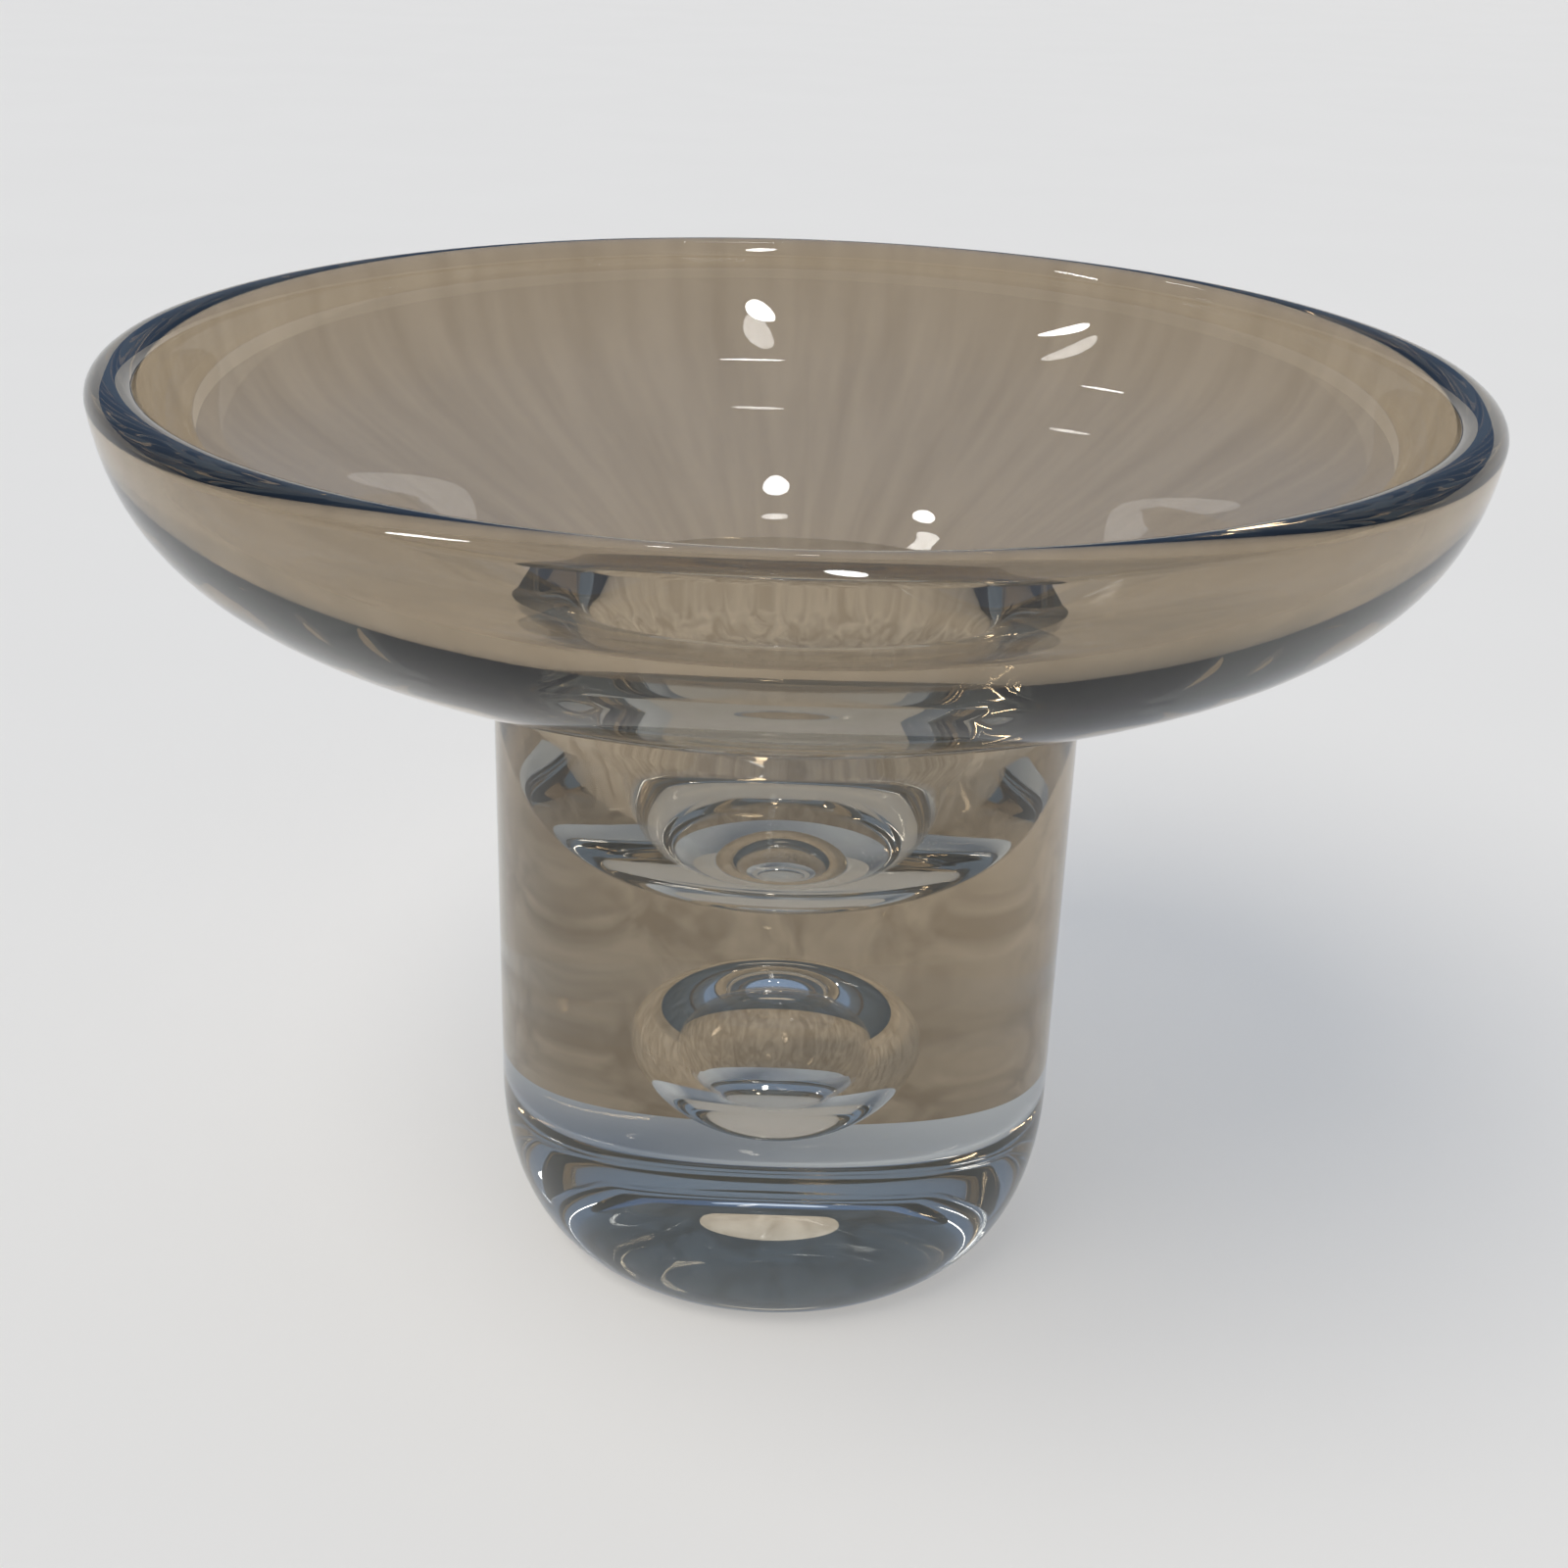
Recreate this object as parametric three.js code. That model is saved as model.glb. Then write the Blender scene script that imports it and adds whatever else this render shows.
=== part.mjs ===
// Glass candle holder: a wide flared bowl whose candle well sinks into a thick round stem, on a heavy foot
// with one large air bubble trapped between stem and foot. Millimetres, +Z up, origin under the foot's centre.
// Three masses of clear glass are turned about +Z and joined hot, face to face, so nothing here moves.

import * as THREE from 'three';

// Heights, stacked from the table upwards
const GLASS_UNDER_BUBBLE = 21.3;
const BUBBLE_HEIGHT = 31.3;
const GLASS_OVER_BUBBLE = 7.4;
const CUP_FLOOR = 5.5;
const WELL_DEPTH = 24.8;
const FUNNEL_RISE = 34;
const BOWL_DEPTH = 19.9;

// How far above the well's throat the bowl lands on top of the stem
const LAND_RISE = 8.9;

// Widths
const RIM_DIAMETER = 200;
const SHOULDER_INSET = 11.3;
const WELL_DIAMETER = 60.8;
const BUBBLE_DIAMETER = 29.6;

// Glass thicknesses and the gap between the well cup and its socket
const LIP_THICKNESS = 7.1;
const LIP_CROWN = 2.9;
const CUP_WALL = 6;
const SOCKET_WALL = 8.7;
const SEAT_CLEARANCE = 0.3;

// Foot: its rounded heel, and the wide shallow hollow ground and polished underneath
const HEEL_HEIGHT = 24.5;
const HEEL_SETBACK = 11.4;
const PUNT_DIAMETER = 51;
const PUNT_DEPTH = 3.4;

// Curve handles, each a share of the width and height that its curve crosses. The bowl's inside runs on without
// a crease from the lip's dish, over the shoulder, into the funnel that falls to the well.
const FLARE_HANDLES = [0.5, 0.31, 0.947, 0.342];
const DISH_HANDLES = [0, 0.395, 0.289, 0.7729];
const FUNNEL_HANDLES = [0.92, 0.6657, 0.998, 0.548];
const CUP_HANDLES = [0.142, 0.98, 0.15, 1];
const PUNT_HANDLES = [0.45, 0, 0.73, 0.5];

// Colour and opacity of each mass: faintly smoky, and blue-grey where the glass is deepest
const BOWL_LOOK = { color: 0xa89c90, opacity: 0.35 };
const STEM_LOOK = { color: 0x9c9388, opacity: 0.4 };
const FOOT_LOOK = { color: 0x7f8894, opacity: 0.45 };
const POLISHED = 0.03;

// Turning steps round the axis, and along each curve of a profile
const TURN_STEPS = 64;
const CURVE_STEPS = 9;
const LIP_STEPS = 8;

// Places worked out from the sizes above
const bubbleCrown = GLASS_UNDER_BUBBLE + BUBBLE_HEIGHT;
const seamHeight = GLASS_UNDER_BUBBLE + BUBBLE_HEIGHT / 2;
const socketFloor = bubbleCrown + GLASS_OVER_BUBBLE;
const cupUnderside = socketFloor + SEAT_CLEARANCE;
const wellFloor = cupUnderside + CUP_FLOOR;
const throatHeight = wellFloor + WELL_DEPTH;
const landHeight = throatHeight + LAND_RISE;
const shoulderHeight = throatHeight + FUNNEL_RISE;
const rimHeight = shoulderHeight + BOWL_DEPTH;
const lipBase = rimHeight - LIP_CROWN;

const rimRadius = RIM_DIAMETER / 2;
const lipInnerRadius = rimRadius - LIP_THICKNESS;
const shoulderRadius = lipInnerRadius - SHOULDER_INSET;
const wellRadius = WELL_DIAMETER / 2;
const cupRadius = wellRadius + CUP_WALL;
const socketRadius = cupRadius + SEAT_CLEARANCE;
const stemRadius = socketRadius + SOCKET_WALL;
const bubbleRadius = BUBBLE_DIAMETER / 2;
const puntRadius = PUNT_DIAMETER / 2;

const ON_AXIS = 1e-6;

/** A point of a profile: distance from the axis, then height. */
const at = (radius, height) => new THREE.Vector2(radius, height);

/** A smooth curve between two points. Its handles are shares of the way across and of the way up. */
function sweep(start, end, [nearAcross, nearUp, farAcross, farUp]) {
  const handle = (across, up) =>
    at(THREE.MathUtils.lerp(start.x, end.x, across), THREE.MathUtils.lerp(start.y, end.y, up));
  const curve = new THREE.CubicBezierCurve(start, handle(nearAcross, nearUp), handle(farAcross, farUp), end);
  return curve.getPoints(CURVE_STEPS);
}

/** A stretch of an ellipse about a centre, between two angles in degrees, counted from outwards to upwards. */
function arc(centre, acrossRadius, upRadius, fromDegrees, toDegrees, steps) {
  const from = THREE.MathUtils.degToRad(fromDegrees);
  const to = THREE.MathUtils.degToRad(toDegrees);
  const curve = new THREE.EllipseCurve(centre.x, centre.y, acrossRadius, upRadius, from, to, to < from);
  return curve.getPoints(steps);
}

/** Joins stretches into one profile: points on the axis lie exactly on it, and none is repeated. */
function profile(...stretches) {
  const points = [];
  for (const { x, y } of stretches.flat()) {
    const point = at(Math.abs(x) < ON_AXIS ? 0 : x, y);
    const last = points.at(-1);
    if (!last || last.distanceTo(point) > ON_AXIS) {
      points.push(point);
    }
  }
  return points;
}

/** Turns a profile, drawn from the axis outwards and back, into a named solid that stands along +Z. */
function turned(name, points, look) {
  const geometry = new THREE.LatheGeometry(points, TURN_STEPS);
  geometry.rotateX(Math.PI / 2);
  const material = new THREE.MeshStandardMaterial({
    ...look,
    transparent: true,
    roughness: POLISHED,
    metalness: 0,
  });
  const mesh = new THREE.Mesh(geometry, material);
  mesh.name = name;
  return mesh;
}

/** The well cup's round bottom, from the axis up to its straight wall. The socket is the same form, wider. */
const cupBottom = (floor, radius) => sweep(at(radius, throatHeight), at(0, floor), CUP_HANDLES).reverse();

function bowl() {
  const underside = [
    ...cupBottom(cupUnderside, cupRadius),
    at(cupRadius, landHeight),
    at(stemRadius, landHeight),
  ];
  const flare = sweep(at(stemRadius, landHeight), at(rimRadius, lipBase), FLARE_HANDLES);
  const lipCentre = at(rimRadius - LIP_THICKNESS / 2, lipBase);
  const lip = arc(lipCentre, LIP_THICKNESS / 2, LIP_CROWN, 0, 180, LIP_STEPS);
  const dish = sweep(at(lipInnerRadius, lipBase), at(shoulderRadius, shoulderHeight), DISH_HANDLES);
  const funnel = sweep(at(shoulderRadius, shoulderHeight), at(wellRadius, throatHeight), FUNNEL_HANDLES);
  const well = sweep(at(wellRadius, throatHeight), at(0, wellFloor), CUP_HANDLES);
  return turned('bowl', profile(underside, flare, lip, dish, funnel, well), BOWL_LOOK);
}

function stem() {
  const bubbleDome = arc(at(0, seamHeight), bubbleRadius, BUBBLE_HEIGHT / 2, 90, 0, CURVE_STEPS);
  const wall = [
    at(stemRadius, seamHeight),
    at(stemRadius, landHeight),
    at(socketRadius, landHeight),
  ];
  const socket = cupBottom(socketFloor, socketRadius).reverse();
  return turned('stem', profile(bubbleDome, wall, socket), STEM_LOOK);
}

function foot() {
  const punt = sweep(at(0, PUNT_DEPTH), at(puntRadius, 0), PUNT_HANDLES);
  const heelCentre = at(stemRadius - HEEL_SETBACK, HEEL_HEIGHT);
  const heel = arc(heelCentre, HEEL_SETBACK, HEEL_HEIGHT, -90, 0, CURVE_STEPS);
  const seam = [
    at(stemRadius, seamHeight),
    at(bubbleRadius, seamHeight),
  ];
  const bubbleCup = arc(at(0, seamHeight), bubbleRadius, BUBBLE_HEIGHT / 2, 0, -90, CURVE_STEPS);
  return turned('foot', profile(punt, heel, seam, bubbleCup), FOOT_LOOK);
}

const candleHolder = new THREE.Group();
candleHolder.name = 'candle_holder';
candleHolder.add(bowl(), stem(), foot());

export default candleHolder;
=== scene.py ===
"""Dresses the glass candle holder: three hot-joined masses of smoky clear glass on a pale studio floor."""

import logging
import math
from abc import ABC, abstractmethod
from dataclasses import dataclass, field
from enum import Enum

import bpy
from mathutils import Matrix, Vector


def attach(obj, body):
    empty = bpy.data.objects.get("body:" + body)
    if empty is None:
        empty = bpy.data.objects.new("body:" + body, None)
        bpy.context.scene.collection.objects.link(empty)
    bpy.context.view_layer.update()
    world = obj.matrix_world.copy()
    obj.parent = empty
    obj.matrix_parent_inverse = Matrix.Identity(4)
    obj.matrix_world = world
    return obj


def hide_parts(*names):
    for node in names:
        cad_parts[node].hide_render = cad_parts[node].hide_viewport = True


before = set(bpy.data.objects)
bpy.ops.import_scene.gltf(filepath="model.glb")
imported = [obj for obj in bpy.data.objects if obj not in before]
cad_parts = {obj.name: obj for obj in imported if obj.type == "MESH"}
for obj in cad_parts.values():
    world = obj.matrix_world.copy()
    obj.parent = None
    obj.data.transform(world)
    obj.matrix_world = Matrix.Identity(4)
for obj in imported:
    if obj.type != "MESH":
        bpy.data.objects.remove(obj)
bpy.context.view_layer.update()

Point = tuple[float, float]
Handles = tuple[float, float, float, float]
Colour = tuple[float, float, float]
Factors = tuple[float, float, float]
Socket = bpy.types.NodeSocket

LOG = logging.getLogger("candle_holder")
BODY = "root"
MM = 0.001
ON_AXIS = 1e-6
JOINT_ATTRIBUTE = "hot_joint"
SKIN_ATTRIBUTE = "outside_skin"
# Face value that marks where painted blue room light goes on the heel.
HEEL_ATTRIBUTE = "ground_heel"


class Surface(Enum):
    """What a stretch of a turned profile is."""

    INSIDE = "inside"
    OUTSIDE = "outside"
    # Stretch of the heel whose leaving light gets painted blue room light.
    GROUND_HEEL = "ground_heel"
    HOT_JOINT = "hot_joint"


class Lamp(Enum):
    """Which lamp of the studio a light is."""

    SOFT_KEY = "soft_key"
    STRIP_BEHIND = "strip_behind"
    STRIP_LEFT = "strip_left"
    BULB_AHEAD = "bulb_ahead"
    BULB_AHEAD_LEFT = "bulb_ahead_left"
    WARM_SHADE = "warm_shade"


@dataclass(frozen=True)
class Stretch:
    """A run of profile points of one kind of surface: distances from the axis and heights, in millimetres."""

    points: tuple[Point, ...]
    surface: Surface = Surface.INSIDE

    def backwards(self) -> "Stretch":
        """The same run, drawn the other way."""
        return Stretch(tuple(reversed(self.points)), self.surface)


def mix(start: float, end: float, share: float) -> float:
    """The value a share of the way from start to end."""
    return start + (end - start) * share


def sweep(
    start: Point, end: Point, handles: Handles, steps: int, surface: Surface = Surface.INSIDE
) -> Stretch:
    """Draws a smooth curve between two profile points.

    Args:
        start: Where the curve begins.
        end: Where the curve ends.
        handles: Shares of the way across and of the way up at which the two handles lie.
        steps: Number of short lines that stand for the curve.
        surface: What kind of surface the curve turns into.

    Returns:
        The curve as a stretch of a profile.
    """
    near = (mix(start[0], end[0], handles[0]), mix(start[1], end[1], handles[1]))
    far = (mix(start[0], end[0], handles[2]), mix(start[1], end[1], handles[3]))
    points = []
    for step in range(steps + 1):
        t = step / steps
        weights = ((1 - t) ** 3, 3 * (1 - t) ** 2 * t, 3 * (1 - t) * t * t, t**3)
        corners = (start, near, far, end)
        across = sum(w * c[0] for w, c in zip(weights, corners))
        up = sum(w * c[1] for w, c in zip(weights, corners))
        points.append((across, up))
    return Stretch(tuple(points), surface)


def arc(
    centre: Point, across: float, up: float, degrees: Point, steps: int, surface: Surface = Surface.INSIDE
) -> Stretch:
    """Draws part of an ellipse.

    Args:
        centre: Middle of the ellipse.
        across: Its half width.
        up: Its half height.
        degrees: First and last angle, counted from outwards to upwards.
        steps: Number of short lines that stand for the arc.
        surface: What kind of surface the arc turns into.

    Returns:
        The arc as a stretch of a profile.
    """
    points = []
    for step in range(steps + 1):
        angle = math.radians(mix(degrees[0], degrees[1], step / steps))
        points.append((centre[0] + across * math.cos(angle), centre[1] + up * math.sin(angle)))
    return Stretch(tuple(points), surface)


@dataclass(frozen=True)
class HandTurning:
    """The slight want of roundness of glass that was turned by hand: lobes that only ever draw it inwards."""

    depth: float = 0.0012
    lobes: tuple[tuple[int, float, float], ...] = ((2, 0.4, 0.011), (3, 1.9, -0.017), (5, 4.1, 0.023))

    def shrink(self, angle: float, height: float) -> float:
        """Finds how far the glass is drawn in.

        Args:
            angle: Direction round the axis, in radians.
            height: Height over the table, in millimetres.

        Returns:
            The factor, just under one, that a radius takes there.
        """
        drawn_in = 0.0
        for count, turn, lean in self.lobes:
            drawn_in += (1 + math.cos(count * angle + turn + lean * height)) / 2
        return 1 - self.depth * drawn_in / len(self.lobes)


@dataclass(frozen=True)
class Plan:
    """Where the three masses meet, in millimetres."""

    stem_radius: float = 45.4
    seam_height: float = 36.95
    land_height: float = 99.5
    throat_height: float = 90.6
    well_radius: float = 30.4
    well_floor: float = 65.8
    cup_radius: float = 36.55
    cup_underside: float = 60.15
    bubble_radius: float = 14.8
    bubble_half_height: float = 15.65
    cup_handles: Handles = (0.142, 0.98, 0.15, 1.0)
    joint_gap: float = 0.005
    curve_steps: int = 32

    def cup_bottom(self, floor: float, radius: float, surface: Surface) -> Stretch:
        """Draws the well cup's round bottom from its straight wall down to the axis.

        Args:
            floor: Height of its lowest point.
            radius: Radius of its straight wall.
            surface: What kind of surface it is.

        Returns:
            The stretch, drawn inwards.
        """
        return sweep((radius, self.throat_height), (0.0, floor), self.cup_handles, self.curve_steps, surface)


class Bench:
    """Lays out the nodes of one material or world."""

    def __init__(self, tree: bpy.types.NodeTree) -> None:
        """Clears the tree and keeps it."""
        self.tree = tree
        self.tree.nodes.clear()

    @classmethod
    def of(cls, owner: bpy.types.ID) -> "Bench":
        """Starts on the nodes of a material or world."""
        owner.use_nodes = True
        return cls(owner.node_tree)

    def add(self, kind: str, name: str) -> bpy.types.Node:
        """Adds a node under a plain name.

        Args:
            kind: Blender's type of the node.
            name: What it does here.

        Returns:
            The new node.
        """
        node = self.tree.nodes.new(kind)
        node.name = name
        node.label = name.replace("_", " ")
        return node

    def join(self, source: Socket, target: Socket) -> None:
        """Links one socket to another."""
        self.tree.links.new(source, target)

    def face_value(self, name: str) -> Socket:
        """Reads a value that the faces carry.

        Args:
            name: Name of the value.

        Returns:
            The value.
        """
        node = self.add("ShaderNodeAttribute", name)
        node.attribute_name = name
        return node.outputs["Fac"]

    def maths(self, operation: str, name: str, first: Socket, second: Socket) -> Socket:
        """Combines two numbers.

        Args:
            operation: Blender's name of the sum.
            name: What it does here.
            first: The first number.
            second: The second number.

        Returns:
            The result, held between zero and one.
        """
        node = self.add("ShaderNodeMath", name)
        node.operation = operation
        node.use_clamp = True
        self.join(first, node.inputs[0])
        self.join(second, node.inputs[1])
        return node.outputs["Value"]

    def scaled(self, name: str, place: Socket, factors: Factors) -> Socket:
        """Multiplies coordinates, each by a factor of its own.

        Args:
            name: What it does here.
            place: The coordinates.
            factors: Factors for X, Y and Z.

        Returns:
            The new coordinates.
        """
        node = self.add("ShaderNodeVectorMath", name)
        node.operation = "MULTIPLY"
        node.inputs[1].default_value = factors
        self.join(place, node.inputs[0])
        return node.outputs["Vector"]

    def below(self, name: str, place: Socket, start: float, full: float) -> Socket:
        """Tells how far down a place lies.

        Args:
            name: What it does here.
            place: Coordinates of the place.
            start: Height above which the result is zero.
            full: Height below which the result is one.

        Returns:
            The share, from zero to one.
        """
        height = self.add("ShaderNodeSeparateXYZ", f"height_for_{name}")
        self.join(place, height.inputs["Vector"])
        node = self.add("ShaderNodeMapRange", name)
        node.inputs["From Min"].default_value = start
        node.inputs["From Max"].default_value = full
        self.join(height.outputs["Z"], node.inputs["Value"])
        return node.outputs["Result"]

    def noise(self, name: str, scale: float, detail: float, place: Socket, twist: float = 0.0) -> Socket:
        """Draws soft noise.

        Args:
            name: What it does here.
            scale: How fine it is.
            detail: How many finer layers it has.
            place: Coordinates to draw it in.
            twist: How far it is distorted.

        Returns:
            The noise, from zero to one.
        """
        node = self.add("ShaderNodeTexNoise", name)
        node.inputs["Scale"].default_value = scale
        node.inputs["Detail"].default_value = detail
        node.inputs["Distortion"].default_value = twist
        self.join(place, node.inputs["Vector"])
        return node.outputs["Fac"]

    def ramp(
        self, name: str, colours: tuple[Colour, Colour], share: Socket, band: Point = (0.0, 1.0)
    ) -> Socket:
        """Runs from one colour to another.

        Args:
            name: What it does here.
            colours: The first and the last colour.
            share: How far along it is.
            band: Shares at which the first colour ends and the last one begins.

        Returns:
            The colour.
        """
        node = self.add("ShaderNodeValToRGB", name)
        for element, colour, position in zip(node.color_ramp.elements, colours, band):
            element.color = (*colour, 1.0)
            element.position = position
        self.join(share, node.inputs["Fac"])
        return node.outputs["Color"]

    def blend(self, name: str, share: Socket) -> bpy.types.Node:
        """Adds a mix of two colours.

        Args:
            name: What it does here.
            share: The second colour's share.

        Returns:
            The node, whose colours are still to be set.
        """
        node = self.add("ShaderNodeMixRGB", name)
        self.join(share, node.inputs["Fac"])
        return node


@dataclass(frozen=True)
class SmokyGlass:
    """Thick clear glass with a thin smoky skin outside, hand polished, streaked and swirled from the melt;
    its foot carries painted blue room light.
    """

    name: str = "smoky_glass"
    clear_tint: Colour = (0.94, 0.93, 0.91)
    joint_tint: Colour = (1.0, 1.0, 1.0)
    tint: Colour = (0.208, 0.136, 0.068)
    streak_tint: Colour = (0.152, 0.096, 0.045)
    streak_band: Point = (0.35, 0.75)
    streaks_round: float = 14.0
    streak_length: float = 22.0
    streak_detail: float = 2.0
    swirl_light: Colour = (0.275, 0.192, 0.106)
    swirl_dark: Colour = (0.125, 0.079, 0.037)
    swirl_band: Point = (0.36, 0.66)
    swirl_scale: Factors = (270.0, 270.0, 75.0)
    swirl_detail: float = 3.0
    swirl_twist: float = 1.3
    swirl_from: float = 0.100
    swirl_below: float = 0.085
    # Painted room light: dark and bright blue clouds laid on light that leaves through the low heel, in place
    # of the room's light seen through the foot.
    painted_room_dark: Colour = (0.10, 0.15, 0.25)
    painted_room_bright: Colour = (0.62, 0.74, 0.90)
    painted_room_band: Point = (0.42, 0.62)
    painted_room_clouds: float = 27.0
    painted_room_detail: float = 1.0
    # Painted room light: blue laid on light that enters low in the foot.
    painted_room_blue: Colour = (0.66, 0.80, 1.0)
    painted_blue_from: float = 0.030
    painted_blue_below: float = 0.019
    absorption: Colour = (0.40, 0.32, 0.16)
    density: float = 5.5
    bend: float = 1.5
    joint_bend: float = 1.0
    smudge: float = 0.02
    smudge_band: Point = (0.6, 0.9)
    wave_scale: float = 34.0
    wave_detail: float = 0.0
    wave_height: float = 0.00004

    def material(self) -> bpy.types.Material:
        """Makes the material. Face values tell it where glass was joined while hot and where its skin is.

        Returns:
            The new material.
        """
        material = bpy.data.materials.new(self.name)
        bench = Bench.of(material)
        shader = bench.add("ShaderNodeBsdfPrincipled", "glass")
        shader.inputs["Transmission Weight"].default_value = 1.0
        joint = bench.face_value(JOINT_ATTRIBUTE)
        place = bench.add("ShaderNodeTexCoord", "place").outputs["Object"]
        side = bench.add("ShaderNodeNewGeometry", "side_of_the_surface").outputs["Backfacing"]

        streaks = self._streaks(bench, place)
        skin = self._skin(bench, place, streaks, side)
        bench.join(self._entering(bench, place, skin, side, joint), shader.inputs["Base Color"])
        bend = bench.add("ShaderNodeMapRange", "no_bend_at_a_joint")
        bend.inputs["To Min"].default_value = self.bend
        bend.inputs["To Max"].default_value = self.joint_bend
        bench.join(joint, bend.inputs["Value"])
        bench.join(bend.outputs["Result"], shader.inputs["IOR"])
        bench.join(self._roughness(bench, streaks, joint), shader.inputs["Roughness"])
        bench.join(self._waves(bench, place), shader.inputs["Normal"])

        depth = bench.add("ShaderNodeVolumeAbsorption", "smoke")
        depth.inputs["Color"].default_value = (*self.absorption, 1.0)
        depth.inputs["Density"].default_value = self.density
        output = bench.add("ShaderNodeOutputMaterial", "surface")
        bench.join(shader.outputs["BSDF"], output.inputs["Surface"])
        bench.join(depth.outputs["Volume"], output.inputs["Volume"])
        return material

    def _streaks(self, bench: Bench, place: Socket) -> Socket:
        """Draws the melt's soft streaks, which fan out from the axis.

        Args:
            bench: Where the nodes go.
            place: Coordinates of the surface.

        Returns:
            The streaks, from zero to one.
        """
        outwards = bench.add("ShaderNodeVectorMath", "outwards")
        outwards.operation = "NORMALIZE"
        bench.join(bench.scaled("level_part", place, (1.0, 1.0, 0.0)), outwards.inputs[0])
        length = self.streak_length
        fan = bench.add("ShaderNodeVectorMath", "fan")
        fan.operation = "MULTIPLY_ADD"
        fan.inputs[1].default_value = (self.streaks_round, self.streaks_round, 1.0)
        bench.join(outwards.outputs["Vector"], fan.inputs[0])
        bench.join(bench.scaled("drawn_out", place, (length, length, length)), fan.inputs[2])
        return bench.noise("melt_streaks", 1.0, self.streak_detail, fan.outputs["Vector"])

    def _melt(self, bench: Bench, place: Socket, streaks: Socket) -> Socket:
        """Colours the smoky skin: streaks in the bowl, and soft swirls below it in the stem.

        Args:
            bench: Where the nodes go.
            place: Coordinates of the surface.
            streaks: The melt's streaks, from zero to one.

        Returns:
            The colour of light that leaves through the skin.
        """
        upright = bench.scaled("upright_swirls", place, self.swirl_scale)
        swirls = bench.noise("stem_swirls", 1.0, self.swirl_detail, upright, self.swirl_twist)
        melt = bench.blend(
            "streaks_or_swirls", bench.below("below_the_bowl", place, self.swirl_from, self.swirl_below)
        )
        tones = bench.ramp("streak_tones", (self.tint, self.streak_tint), streaks, self.streak_band)
        bench.join(tones, melt.inputs["Color1"])
        tones = bench.ramp("swirl_tones", (self.swirl_dark, self.swirl_light), swirls, self.swirl_band)
        bench.join(tones, melt.inputs["Color2"])
        return melt.outputs["Color"]

    def _skin(self, bench: Bench, place: Socket, streaks: Socket, side: Socket) -> Socket:
        """Tints light that leaves through the smoky skin, and lays painted blue room light, in clouds, on
        light that leaves through the low heel.

        Args:
            bench: Where the nodes go.
            place: Coordinates of the surface.
            streaks: The melt's streaks, from zero to one.
            side: One where the surface is met from within the glass.

        Returns:
            The colour of the skin, with the heel's painted room light.
        """
        leaving_skin = bench.maths("MULTIPLY", "leaving_by_skin", bench.face_value(SKIN_ATTRIBUTE), side)
        smoke = bench.blend("smoke_in_the_skin", leaving_skin)
        smoke.inputs["Color1"].default_value = (*self.clear_tint, 1.0)
        bench.join(self._melt(bench, place, streaks), smoke.inputs["Color2"])

        # Painted room light: light leaving through the low heel is turned blue and blue-white in clouds.
        leaving_heel = bench.maths("MULTIPLY", "leaving_by_heel", bench.face_value(HEEL_ATTRIBUTE), side)
        heel = bench.blend("painted_room_light_of_the_heel", leaving_heel)
        bench.join(smoke.outputs["Color"], heel.inputs["Color1"])
        clouds = bench.noise("painted_room_clouds", self.painted_room_clouds, self.painted_room_detail, place)
        tones = bench.ramp("painted_room_tones", (self.painted_room_dark, self.painted_room_bright), clouds, self.painted_room_band)
        bench.join(tones, heel.inputs["Color2"])
        return heel.outputs["Color"]

    def _entering(self, bench: Bench, place: Socket, skin: Socket, side: Socket, joint: Socket) -> Socket:
        """Lays painted blue room light on light that enters low in the foot, and leaves hot joints clear.

        Args:
            bench: Where the nodes go.
            place: Coordinates of the surface.
            skin: Colour of the skin.
            side: One where the surface is met from within the glass.
            joint: One on a hot joint, zero elsewhere.

        Returns:
            The colour of the glass.
        """
        # Painted room light: light met from outside low in the foot is turned blue.
        low = bench.below("low_in_the_foot", place, self.painted_blue_from, self.painted_blue_below)
        entering = bench.maths("SUBTRACT", "met_from_outside", low, side)
        blue = bench.blend("painted_room_light_low_in_foot", entering)
        bench.join(skin, blue.inputs["Color1"])
        blue.inputs["Color2"].default_value = (*self.painted_room_blue, 1.0)
        clear = bench.blend("clear_at_a_joint", joint)
        bench.join(blue.outputs["Color"], clear.inputs["Color1"])
        clear.inputs["Color2"].default_value = (*self.joint_tint, 1.0)
        return clear.outputs["Color"]

    def _roughness(self, bench: Bench, streaks: Socket, joint: Socket) -> Socket:
        """Lays faint handling smudges over the polish, away from hot joints.

        Args:
            bench: Where the nodes go.
            streaks: The melt's streaks, from zero to one.
            joint: One on a hot joint, zero elsewhere.

        Returns:
            The roughness socket.
        """
        patches = bench.maths("SUBTRACT", "polish_and_joints", streaks, joint)
        spread = bench.add("ShaderNodeMapRange", "smudges")
        spread.inputs["From Min"].default_value = self.smudge_band[0]
        spread.inputs["From Max"].default_value = self.smudge_band[1]
        spread.inputs["To Max"].default_value = self.smudge
        bench.join(patches, spread.inputs["Value"])
        return spread.outputs["Result"]

    def _waves(self, bench: Bench, place: Socket) -> Socket:
        """Gives the surface the shallow waves of hand polishing.

        Args:
            bench: Where the nodes go.
            place: Coordinates of the surface.

        Returns:
            The normal socket.
        """
        bump = bench.add("ShaderNodeBump", "waves")
        bump.inputs["Strength"].default_value = 1.0
        bump.inputs["Distance"].default_value = self.wave_height
        waves = bench.noise("polishing_waves", self.wave_scale, self.wave_detail, place)
        bench.join(waves, bump.inputs["Height"])
        return bump.outputs["Normal"]


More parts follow.
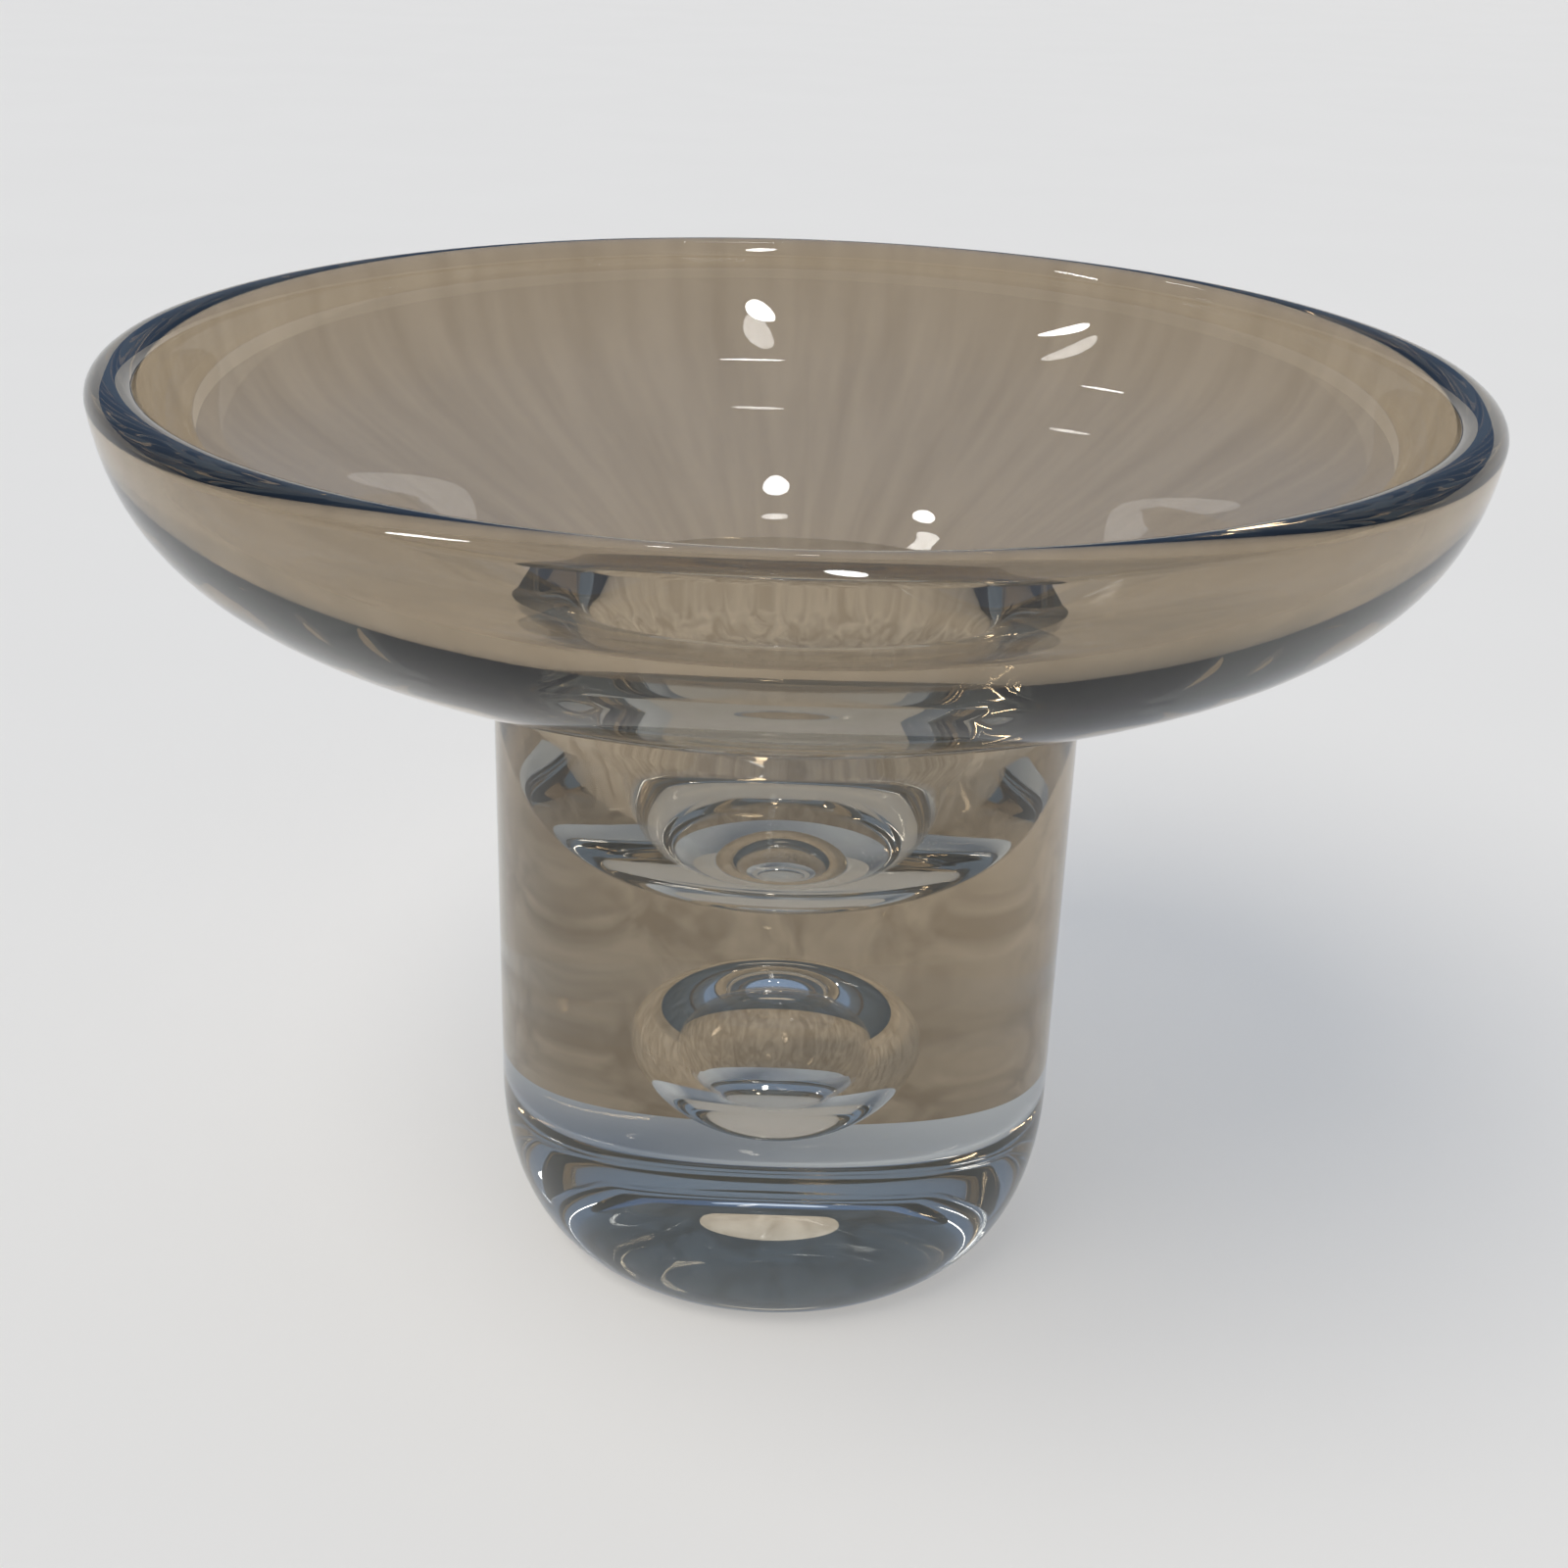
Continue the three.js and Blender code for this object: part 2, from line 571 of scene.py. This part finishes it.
@dataclass(frozen=True)
class PaleFloor:
    """A matt pale studio floor that shows its own tone to the lens and through glass, and keeps shadows."""

    name: str = "pale_floor"
    tone: Colour = (0.90, 0.865, 0.81)
    fleck: Colour = (0.875, 0.84, 0.785)
    grain_scale: float = 9.0
    grain_detail: float = 6.0
    glow: float = 0.42

    def material(self) -> bpy.types.Material:
        """Makes the material.

        Returns:
            The new material.
        """
        material = bpy.data.materials.new(self.name)
        bench = Bench.of(material)
        place = bench.add("ShaderNodeTexCoord", "place").outputs["Object"]
        grain = bench.noise("paper_grain", self.grain_scale, self.grain_detail, place)
        tones = bench.ramp("paper_tones", (self.fleck, self.tone), grain)
        matt = bench.add("ShaderNodeBsdfDiffuse", "matt_paper")
        bench.join(tones, matt.inputs["Color"])
        glow = bench.add("ShaderNodeEmission", "even_tone")
        bench.join(tones, glow.inputs["Color"])
        both = bench.add("ShaderNodeMixShader", "lit_and_even")
        bench.join(self._seen(bench), both.inputs["Fac"])
        bench.join(matt.outputs["BSDF"], both.inputs[1])
        bench.join(glow.outputs["Emission"], both.inputs[2])
        output = bench.add("ShaderNodeOutputMaterial", "surface")
        bench.join(both.outputs["Shader"], output.inputs["Surface"])
        return material

    def _seen(self, bench: Bench) -> Socket:
        """Tells rays that see the floor, straight, in a gloss or through glass, from rays that only light it.

        Args:
            bench: Where the nodes go.

        Returns:
            The share of even tone that a ray sees.
        """
        path = bench.add("ShaderNodeLightPath", "ray")
        total = path.outputs["Is Camera Ray"]
        for kind in ("Is Glossy Ray", "Is Transmission Ray"):
            total = bench.maths("MAXIMUM", kind.lower().replace(" ", "_"), total, path.outputs[kind])
        share = bench.add("ShaderNodeMath", "share_of_even_tone")
        share.operation = "MULTIPLY"
        bench.join(total, share.inputs[0])
        share.inputs[1].default_value = self.glow
        return share.outputs["Value"]


@dataclass
class TurnedMass(ABC):
    """One mass of glass, turned about the upright axis."""

    plan: Plan
    turning: HandTurning
    turns: int = 240

    @property
    @abstractmethod
    def node(self) -> str:
        """Name of the solid that this mass stands for."""

    @abstractmethod
    def profile(self) -> list[Stretch]:
        """Draws the profile from the axis outwards and back to it."""

    def build(self, finish: bpy.types.Material) -> bpy.types.Object:
        """Turns the profile, dresses it and seats it on the frame.

        Args:
            finish: The glass that it is made of.

        Returns:
            The finished piece.
        """
        mesh, surfaces = self._turn()
        self._mark(mesh, surfaces)
        self._sharpen(mesh, surfaces)
        mesh.materials.append(finish)
        mesh.update()
        piece = bpy.data.objects.new(f"{self.node}_glass", mesh)
        bpy.context.scene.collection.objects.link(piece)
        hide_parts(self.node)
        f"{self.node}_glass"
        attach(piece, BODY)
        LOG.info("%s: %d faces", piece.name, len(mesh.polygons))
        return piece

    def _turn(self) -> tuple[bpy.types.Mesh, list[Surface]]:
        """Turns the profile into a mesh.

        Returns:
            The mesh, and the kind of surface of each of its faces.
        """
        rings: list[list[int]] = []
        corners: list[Vector] = []
        kinds: list[Surface] = []
        for stretch in self.profile():
            for number, (across, up) in enumerate(stretch.points):
                if rings and number == 0:
                    continue
                rings.append(self._ring(across, up, corners))
                kinds.append(stretch.surface)
        faces, surfaces = self._faces(rings, kinds)
        mesh = bpy.data.meshes.new(f"{self.node}_glass")
        mesh.from_pydata(corners, [], faces)
        mesh.shade_smooth()
        return mesh, surfaces

    def _ring(self, across: float, up: float, corners: list[Vector]) -> list[int]:
        """Adds the corners of one turn.

        Args:
            across: Distance from the axis, in millimetres.
            up: Height, in millimetres.
            corners: The mesh's corners so far, which grow.

        Returns:
            Indices of the new corners, a single one on the axis.
        """
        first = len(corners)
        if across < ON_AXIS:
            corners.append(Vector((0.0, 0.0, up * MM)))
            return [first]
        for turn in range(self.turns):
            angle = math.tau * turn / self.turns
            radius = across * self.turning.shrink(angle, up) * MM
            corners.append(Vector((radius * math.cos(angle), radius * math.sin(angle), up * MM)))
        return list(range(first, first + self.turns))

    def _faces(
        self, rings: list[list[int]], kinds: list[Surface]
    ) -> tuple[list[tuple[int, ...]], list[Surface]]:
        """Joins neighbouring rings.

        Args:
            rings: Corner indices of each ring, along the profile.
            kinds: Kind of surface that ends at each ring.

        Returns:
            The faces, and the kind of surface of each.
        """
        faces: list[tuple[int, ...]] = []
        surfaces: list[Surface] = []
        for low, high, kind in zip(rings, rings[1:], kinds[1:]):
            for turn in range(self.turns):
                after = (turn + 1) % self.turns
                if len(low) == 1:
                    face = (low[0], high[after], high[turn])
                elif len(high) == 1:
                    face = (low[turn], low[after], high[0])
                else:
                    face = (low[turn], low[after], high[after], high[turn])
                faces.append(face)
                surfaces.append(kind)
        return faces, surfaces

    def _mark(self, mesh: bpy.types.Mesh, surfaces: list[Surface]) -> None:
        """Gives the faces the values that tell the glass which kind of surface they are.

        Args:
            mesh: The turned mesh.
            surfaces: The kind of surface of each of its faces.
        """
        marks = {
            JOINT_ATTRIBUTE: Surface.HOT_JOINT,
            SKIN_ATTRIBUTE: Surface.OUTSIDE,
            HEEL_ATTRIBUTE: Surface.GROUND_HEEL,
        }
        for name, marked in marks.items():
            attribute = mesh.attributes.new(name, "FLOAT", "FACE")
            attribute.data.foreach_set("value", [float(surface is marked) for surface in surfaces])

    def _sharpen(self, mesh: bpy.types.Mesh, surfaces: list[Surface]) -> None:
        """Keeps an edge crisp where polished glass meets a hot joint.

        Args:
            mesh: The turned mesh.
            surfaces: The kind of surface of each of its faces.
        """
        joints_at: dict[int, set[bool]] = {}
        for polygon, surface in zip(mesh.polygons, surfaces):
            for loop in polygon.loop_indices:
                joints_at.setdefault(mesh.loops[loop].edge_index, set()).add(surface is Surface.HOT_JOINT)
        for edge in mesh.edges:
            edge.use_edge_sharp = len(joints_at[edge.index]) > 1


@dataclass
class Bowl(TurnedMass):
    """The wide flared bowl with its rounded lip and the candle well that sinks from it."""

    rim_radius: float = 100.0
    rim_height: float = 144.5
    lip_thickness: float = 7.1
    lip_crown: float = 2.9
    shoulder_radius: float = 81.6
    shoulder_height: float = 124.6
    flare_handles: Handles = (0.5, 0.31, 0.947, 0.342)
    dish_handles: Handles = (0.0, 0.395, 0.289, 0.7729)
    funnel_handles: Handles = (0.92, 0.6657, 0.998, 0.548)
    lip_steps: int = 24

    @property
    def node(self) -> str:
        """Name of the bowl's solid."""
        return "bowl"

    def profile(self) -> list[Stretch]:
        """Draws the bowl from under its cup, up the flare, over the lip and down into the well.

        Returns:
            The stretches of the profile.
        """
        plan = self.plan
        steps = plan.curve_steps
        gap = plan.joint_gap
        lip_base = self.rim_height - self.lip_crown
        land = plan.land_height + gap
        cup = plan.cup_radius - gap
        foot_of_flare = (plan.stem_radius, land)
        outer_lip = (self.rim_radius, lip_base)
        half_lip = self.lip_thickness / 2
        lip_centre = (self.rim_radius - half_lip, lip_base)
        inner_lip = (self.rim_radius - self.lip_thickness, lip_base)
        shoulder = (self.shoulder_radius, self.shoulder_height)
        throat = (plan.well_radius, plan.throat_height)
        return [
            plan.cup_bottom(plan.cup_underside + gap, cup, Surface.HOT_JOINT).backwards(),
            Stretch(((cup, plan.throat_height), (cup, land), foot_of_flare), Surface.HOT_JOINT),
            sweep(foot_of_flare, outer_lip, self.flare_handles, steps, Surface.OUTSIDE),
            arc(lip_centre, half_lip, self.lip_crown, (0.0, 180.0), self.lip_steps, Surface.OUTSIDE),
            sweep(inner_lip, shoulder, self.dish_handles, steps),
            sweep(shoulder, throat, self.funnel_handles, steps),
            plan.cup_bottom(plan.well_floor, plan.well_radius, Surface.INSIDE),
        ]


@dataclass
class Stem(TurnedMass):
    """The thick round stem, fused round the well cup, with the upper half of the trapped bubble."""

    @property
    def node(self) -> str:
        """Name of the stem's solid."""
        return "stem"

    def profile(self) -> list[Stretch]:
        """Draws the stem from the bubble's crown, along the seam, up the wall and down into the socket.

        Returns:
            The stretches of the profile.
        """
        plan = self.plan
        seam = plan.seam_height + plan.joint_gap
        outer_top = (plan.stem_radius, plan.land_height)
        socket_mouth = (plan.cup_radius, plan.land_height)
        socket_throat = (plan.cup_radius, plan.throat_height)
        return [
            arc((0.0, seam), plan.bubble_radius, plan.bubble_half_height, (90.0, 0.0), plan.curve_steps),
            Stretch(((plan.bubble_radius, seam), (plan.stem_radius, seam)), Surface.HOT_JOINT),
            Stretch(((plan.stem_radius, seam), outer_top), Surface.OUTSIDE),
            Stretch((outer_top, socket_mouth, socket_throat), Surface.HOT_JOINT),
            plan.cup_bottom(plan.cup_underside, plan.cup_radius, Surface.HOT_JOINT),
        ]


@dataclass
class Foot(TurnedMass):
    """The heavy foot: its heel, whose low part carries painted blue room light, its hollow and the lower half
    of the bubble.
    """

    heel_height: float = 24.5
    heel_setback: float = 11.4
    # Angle at which the heel's painted room light gives way to the smoky skin.
    painted_light_degrees: float = -45.0
    punt_radius: float = 25.5
    punt_depth: float = 3.4
    punt_handles: Handles = (0.45, 0.0, 0.73, 0.5)

    @property
    def node(self) -> str:
        """Name of the foot's solid."""
        return "foot"

    def profile(self) -> list[Stretch]:
        """Draws the foot from its hollow, round the heel, up the wall and in along the seam to the bubble.

        Returns:
            The stretches of the profile.
        """
        plan = self.plan
        seam = plan.seam_height
        steps = plan.curve_steps
        heel_centre = (plan.stem_radius - self.heel_setback, self.heel_height)
        heel_size = (self.heel_setback, self.heel_height)
        return [
            sweep((0.0, self.punt_depth), (self.punt_radius, 0.0), self.punt_handles, steps),
            Stretch(((self.punt_radius, 0.0), (heel_centre[0], 0.0))),
            # The low heel carries painted blue room light; the rest of the heel has the smoky skin.
            arc(heel_centre, *heel_size, (-90.0, self.painted_light_degrees), steps, Surface.GROUND_HEEL),
            arc(heel_centre, *heel_size, (self.painted_light_degrees, 0.0), steps, Surface.OUTSIDE),
            Stretch(((plan.stem_radius, self.heel_height), (plan.stem_radius, seam)), Surface.OUTSIDE),
            Stretch(((plan.stem_radius, seam), (plan.bubble_radius, seam)), Surface.HOT_JOINT),
            arc((0.0, seam), plan.bubble_radius, plan.bubble_half_height, (0.0, -90.0), steps),
        ]


@dataclass(frozen=True)
class SoftSun:
    """A far, wide, soft light that gloss doesn't mirror."""

    kind: Lamp
    comes_from: Vector
    degrees: float
    strength: float
    colour: Colour

    def hang(self) -> bpy.types.Object:
        """Hangs the light.

        Returns:
            The light's object.
        """
        data = bpy.data.lights.new(self.kind.value, "SUN")
        data.angle = math.radians(self.degrees)
        data.energy = self.strength
        data.color = self.colour
        lamp = bpy.data.objects.new(self.kind.value, data)
        direction = self.comes_from.normalized()
        lamp.location = direction
        lamp.rotation_mode = "QUATERNION"
        lamp.rotation_quaternion = direction.to_track_quat("Z", "Y")
        lamp.visible_glossy = False
        lamp.visible_transmission = False
        bpy.context.scene.collection.objects.link(lamp)
        return lamp


@dataclass(frozen=True)
class MirroredLamp:
    """A small bright lamp that shows only as a highlight, aimed at a spot and sized as seen from there.

    Where off_the_surface is false, gloss doesn't mirror it, and it is seen through the glass alone.
    """

    kind: Lamp
    spot: Vector
    comes_from: Vector
    degrees_wide: float
    degrees_high: float
    distance: float = 3.0
    brightness: float = 30.0
    off_the_surface: bool = True

    def hang(self) -> bpy.types.Object:
        """Hangs the lamp, facing the glass.

        Returns:
            The lamp's object.
        """
        data = bpy.data.lights.new(self.kind.value, "AREA")
        data.shape = "ELLIPSE"
        data.size = 2 * self.distance * math.tan(math.radians(self.degrees_wide) / 2)
        data.size_y = 2 * self.distance * math.tan(math.radians(self.degrees_high) / 2)
        data.energy = self.brightness * math.pi * math.pi / 4 * data.size * data.size_y
        lamp = bpy.data.objects.new(self.kind.value, data)
        direction = self.comes_from.normalized()
        lamp.location = self.spot * MM + direction * self.distance
        lamp.rotation_mode = "QUATERNION"
        lamp.rotation_quaternion = direction.to_track_quat("Z", "Y")
        lamp.visible_camera = False
        lamp.visible_diffuse = False
        lamp.visible_glossy = self.off_the_surface
        bpy.context.scene.collection.objects.link(lamp)
        return lamp


@dataclass
class Studio:
    """The pale floor that curves up into a backdrop all round, a dim blue-grey room and its lamps."""

    floor_finish: PaleFloor = field(default_factory=PaleFloor)
    floor_rings: tuple[float, ...] = (0.5, 2.0)
    floor_radius: float = 7.0
    cove_radius: float = 1.2
    wall_height: float = 0.4
    table_gap: float = 0.0002
    turns: int = 96
    cove_steps: int = 12
    low_room: Colour = (0.11, 0.165, 0.265)
    high_room: Colour = (0.26, 0.37, 0.56)
    key: SoftSun = SoftSun(
        Lamp.SOFT_KEY,
        comes_from=Vector((-0.45, -0.45, 1.0)),
        degrees=40.0,
        strength=1.9,
        colour=(1.0, 0.95, 0.87),
    )
    lamps: tuple[MirroredLamp, ...] = (
        MirroredLamp(
            Lamp.STRIP_BEHIND,
            spot=Vector((-7.6, 90.0, 132.2)),
            comes_from=Vector((0.116, -0.616, 0.779)),
            degrees_wide=4.3,
            degrees_high=28.0,
        ),
        MirroredLamp(
            Lamp.STRIP_LEFT,
            spot=Vector((48.6, 76.8, 133.2)),
            comes_from=Vector((-0.712, -0.344, 0.612)),
            degrees_wide=3.6,
            degrees_high=22.0,
        ),
        MirroredLamp(
            Lamp.BULB_AHEAD,
            spot=Vector((-3.1, 49.9, 110.3)),
            comes_from=Vector((0.024, 0.453, 0.891)),
            degrees_wide=1.5,
            degrees_high=1.5,
            distance=0.45,
            brightness=15.0,
        ),
        MirroredLamp(
            Lamp.BULB_AHEAD_LEFT,
            spot=Vector((22.3, 39.8, 108.3)),
            comes_from=Vector((-0.184, 0.519, 0.835)),
            degrees_wide=1.6,
            degrees_high=2.3,
            distance=0.45,
            brightness=15.0,
        ),
        MirroredLamp(
            Lamp.WARM_SHADE,
            spot=Vector((0.0, 0.0, 30.0)),
            comes_from=Vector((0.0, 0.836, 0.549)),
            degrees_wide=13.0,
            degrees_high=4.5,
            brightness=1.3,
            off_the_surface=False,
        ),
    )

    def build(self) -> None:
        """Lays the floor, fills the room with light and hangs the lamps."""
        self._lay_floor()
        self._light_room()
        self.key.hang()
        for lamp in self.lamps:
            lamp.hang()

    def _lay_floor(self) -> None:
        """Lays the floor with its cove and backdrop as one turned sheet."""
        flat_rings = (*self.floor_rings, self.floor_radius - self.cove_radius)
        outline: list[Point] = [(ring, 0.0) for ring in flat_rings]
        for step in range(1, self.cove_steps + 1):
            angle = math.pi / 2 * step / self.cove_steps
            across = self.floor_radius - self.cove_radius * (1 - math.sin(angle))
            outline.append((across, self.cove_radius * (1 - math.cos(angle))))
        outline.append((self.floor_radius, self.cove_radius + self.wall_height))
        corners: list[Vector] = []
        faces: list[tuple[int, ...]] = []
        for across, up in outline:
            for turn in range(self.turns):
                angle = math.tau * turn / self.turns
                corners.append(Vector((across * math.cos(angle), across * math.sin(angle), up)))
        faces.append(tuple(range(self.turns)))
        for ring in range(len(outline) - 1):
            for turn in range(self.turns):
                low = ring * self.turns
                after = (turn + 1) % self.turns
                faces.append((low + turn, low + self.turns + turn, low + self.turns + after, low + after))
        mesh = bpy.data.meshes.new("studio_floor")
        mesh.from_pydata(corners, [], faces)
        mesh.shade_smooth()
        mesh.materials.append(self.floor_finish.material())
        floor = bpy.data.objects.new("studio_floor", mesh)
        floor.location.z = -self.table_gap
        bpy.context.scene.collection.objects.link(floor)
        LOG.info("studio floor: %d faces", len(mesh.polygons))

    def _light_room(self) -> None:
        """Fills the room with a dim blue-grey light that grows towards the ceiling."""
        world = bpy.data.worlds.new("studio_room")
        bpy.context.scene.world = world
        bench = Bench.of(world)
        place = bench.add("ShaderNodeTexCoord", "direction")
        split = bench.add("ShaderNodeSeparateXYZ", "height_of_view")
        bench.join(place.outputs["Generated"], split.inputs["Vector"])
        back = bench.add("ShaderNodeBackground", "room_light")
        tones = bench.ramp("room_tones", (self.low_room, self.high_room), split.outputs["Z"])
        bench.join(tones, back.inputs["Color"])
        output = bench.add("ShaderNodeOutputWorld", "room")
        bench.join(back.outputs["Background"], output.inputs["Surface"])


@dataclass(frozen=True)
class PhotoCamera:
    """The viewpoint of the photograph, fitted to the outline of the object."""

    distance: float = 0.309648
    height: float = 0.211781
    pitch: float = 0.415
    roll: float = 0.034
    focal_pixels: float = 2171.0
    frame_pixels: float = 1600.0
    sensor_width: float = 36.0
    nearest: float = 0.005
    farthest: float = 50.0

    def place(self) -> bpy.types.Object:
        """Sets the camera up and makes it the scene's own.

        Returns:
            The camera's object.
        """
        data = bpy.data.cameras.new("photo_camera")
        data.sensor_fit = "HORIZONTAL"
        data.sensor_width = self.sensor_width
        data.lens = self.focal_pixels / self.frame_pixels * self.sensor_width
        data.clip_start = self.nearest
        data.clip_end = self.farthest
        ahead = Vector((0.0, math.cos(self.pitch), -math.sin(self.pitch)))
        level = Vector((1.0, 0.0, 0.0))
        upright = Vector((0.0, math.sin(self.pitch), math.cos(self.pitch)))
        right = level * math.cos(self.roll) + upright * math.sin(self.roll)
        up = upright * math.cos(self.roll) - level * math.sin(self.roll)
        turn = Matrix((right, up, -ahead)).transposed().to_4x4()
        camera = bpy.data.objects.new("photo_camera", data)
        camera.matrix_world = Matrix.Translation((0.0, -self.distance, self.height)) @ turn
        bpy.context.scene.collection.objects.link(camera)
        bpy.context.scene.camera = camera
        return camera


@dataclass(frozen=True)
class GlassPaths:
    """How many times light may pass or bounce in the glass before it is given up."""

    total: int = 24
    through_glass: int = 24
    off_the_floor: int = 1
    in_gloss: int = 16
    seen_straight: int = 16
    brightest_bounce: float = 6.0

    def apply(self) -> None:
        """Sets the limits on the scene, with tones shown as they are."""
        scene = bpy.context.scene
        scene.view_settings.view_transform = "Standard"
        scene.cycles.max_bounces = self.total
        scene.cycles.transmission_bounces = self.through_glass
        scene.cycles.diffuse_bounces = self.off_the_floor
        scene.cycles.glossy_bounces = self.in_gloss
        scene.cycles.transparent_max_bounces = self.seen_straight
        scene.cycles.sample_clamp_indirect = self.brightest_bounce


def main() -> None:
    """Builds the camera, the three masses of glass and the studio round them."""
    logging.basicConfig(level=logging.INFO, format="%(name)s: %(message)s")
    PhotoCamera().place()
    GlassPaths().apply()
    glass = SmokyGlass().material()
    plan = Plan()
    turning = HandTurning()
    for mass in (Bowl(plan, turning), Stem(plan, turning), Foot(plan, turning)):
        mass.build(glass)
    Studio().build()


if __name__ == "__main__":
    main()
